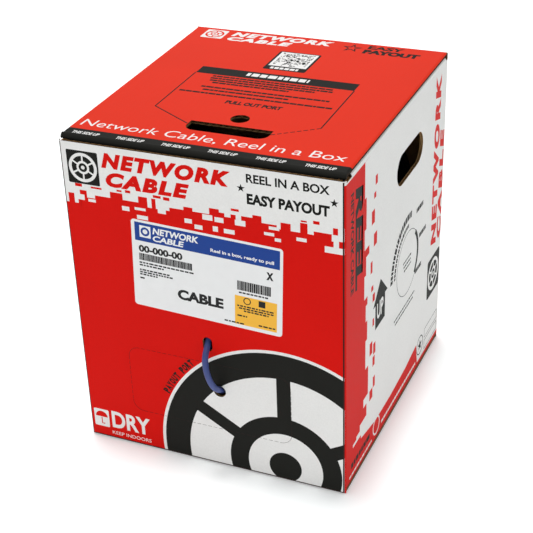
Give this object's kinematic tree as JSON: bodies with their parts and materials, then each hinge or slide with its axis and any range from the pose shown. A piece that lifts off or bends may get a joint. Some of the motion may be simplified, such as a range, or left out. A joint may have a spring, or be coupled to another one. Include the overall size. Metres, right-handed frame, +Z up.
{
  "type": "cable spool box",
  "caption": "Tuck-top corrugated carton holding a reel of data cable on a horizontal axle, with the free end looped through payout holes in the front wall.",
  "frame": {"origin": "centre of the carton's footprint, on the surface it stands on", "axes": "+Z up, -Y towards the front wall with the payout holes, +X to the right seen from the front"},
  "size_m": [0.34, 0.3946, 0.413],
  "materials": {
    "printed_board": "red, white and black printed corrugated board, matt",
    "kraft_board": "plain brown kraft corrugated board",
    "label_paper": "white coated label paper with blue, yellow and black print",
    "tube_paper": "spiral wound brown tube paper",
    "reel_plastic": "moulded black polystyrene",
    "bush_plastic": "natural white acetal",
    "zinc_steel": "bright zinc plated steel",
    "cable_jacket": "violet-blue PVC cable jacket, satin"
  },
  "bodies": {
    "carton": {"front_panel": "printed_board", "rear_panel": "printed_board", "left_side_panel": "printed_board", "right_side_panel": "printed_board", "glue_tab": "kraft_board", "bottom_inner_flap_left": "kraft_board", "bottom_inner_flap_right": "kraft_board", "bottom_outer_flap_front": "kraft_board", "bottom_outer_flap_rear": "kraft_board", "base_pad": "kraft_board", "reel_support_left": "kraft_board", "reel_support_right": "kraft_board", "product_label": "label_paper", "axle_tube": "tube_paper", "spacer_collar_left": "bush_plastic", "spacer_collar_right": "bush_plastic", "cable_lead": "cable_jacket"},
    "lid": {"lid_panel": "printed_board"},
    "tuck": {"tuck_flap": "printed_board"},
    "dust_left": {"dust_flap_left": "printed_board"},
    "dust_right": {"dust_flap_right": "printed_board"},
    "reel": {"reel_flange_left": "reel_plastic", "reel_flange_right": "reel_plastic", "hub_bush_left": "bush_plastic", "hub_bush_right": "bush_plastic", "reel_drum": "tube_paper", "cable_winding": "cable_jacket", "tie_rods": "zinc_steel", "tie_washers": "zinc_steel", "tie_nuts": "zinc_steel"}
  },
  "joints": [
    {"name": "lid_hinge", "type": "hinge", "parent": "carton", "child": "lid", "pos_m": [0, 0.186, 0.413], "axis": [-1, 0, 0], "range_deg": [0, 180]},
    {"name": "tuck_fold", "type": "hinge", "parent": "lid", "child": "tuck", "pos_m": [0, -0.1815, 0.413], "axis": [-1, 0, 0], "range_deg": [0, 72]},
    {"name": "dust_left_fold", "type": "hinge", "parent": "carton", "child": "dust_left", "pos_m": [-0.17, 0, 0.4085], "axis": [0, -1, 0], "range_deg": [0, 90]},
    {"name": "dust_right_fold", "type": "hinge", "parent": "carton", "child": "dust_right", "pos_m": [0.17, 0, 0.4085], "axis": [0, 1, 0], "range_deg": [0, 90]},
    {"name": "reel_spin", "type": "hinge", "parent": "carton", "child": "reel", "pos_m": [0, 0, 0.186], "axis": [1, 0, 0], "continuous": true}
  ],
  "couplings": [
    {"joint": "tuck_fold", "follows": "lid_hinge", "ratio": 0.4},
    {"joint": "dust_left_fold", "follows": "lid_hinge", "ratio": 0.5},
    {"joint": "dust_right_fold", "follows": "lid_hinge", "ratio": 0.5}
  ]
}
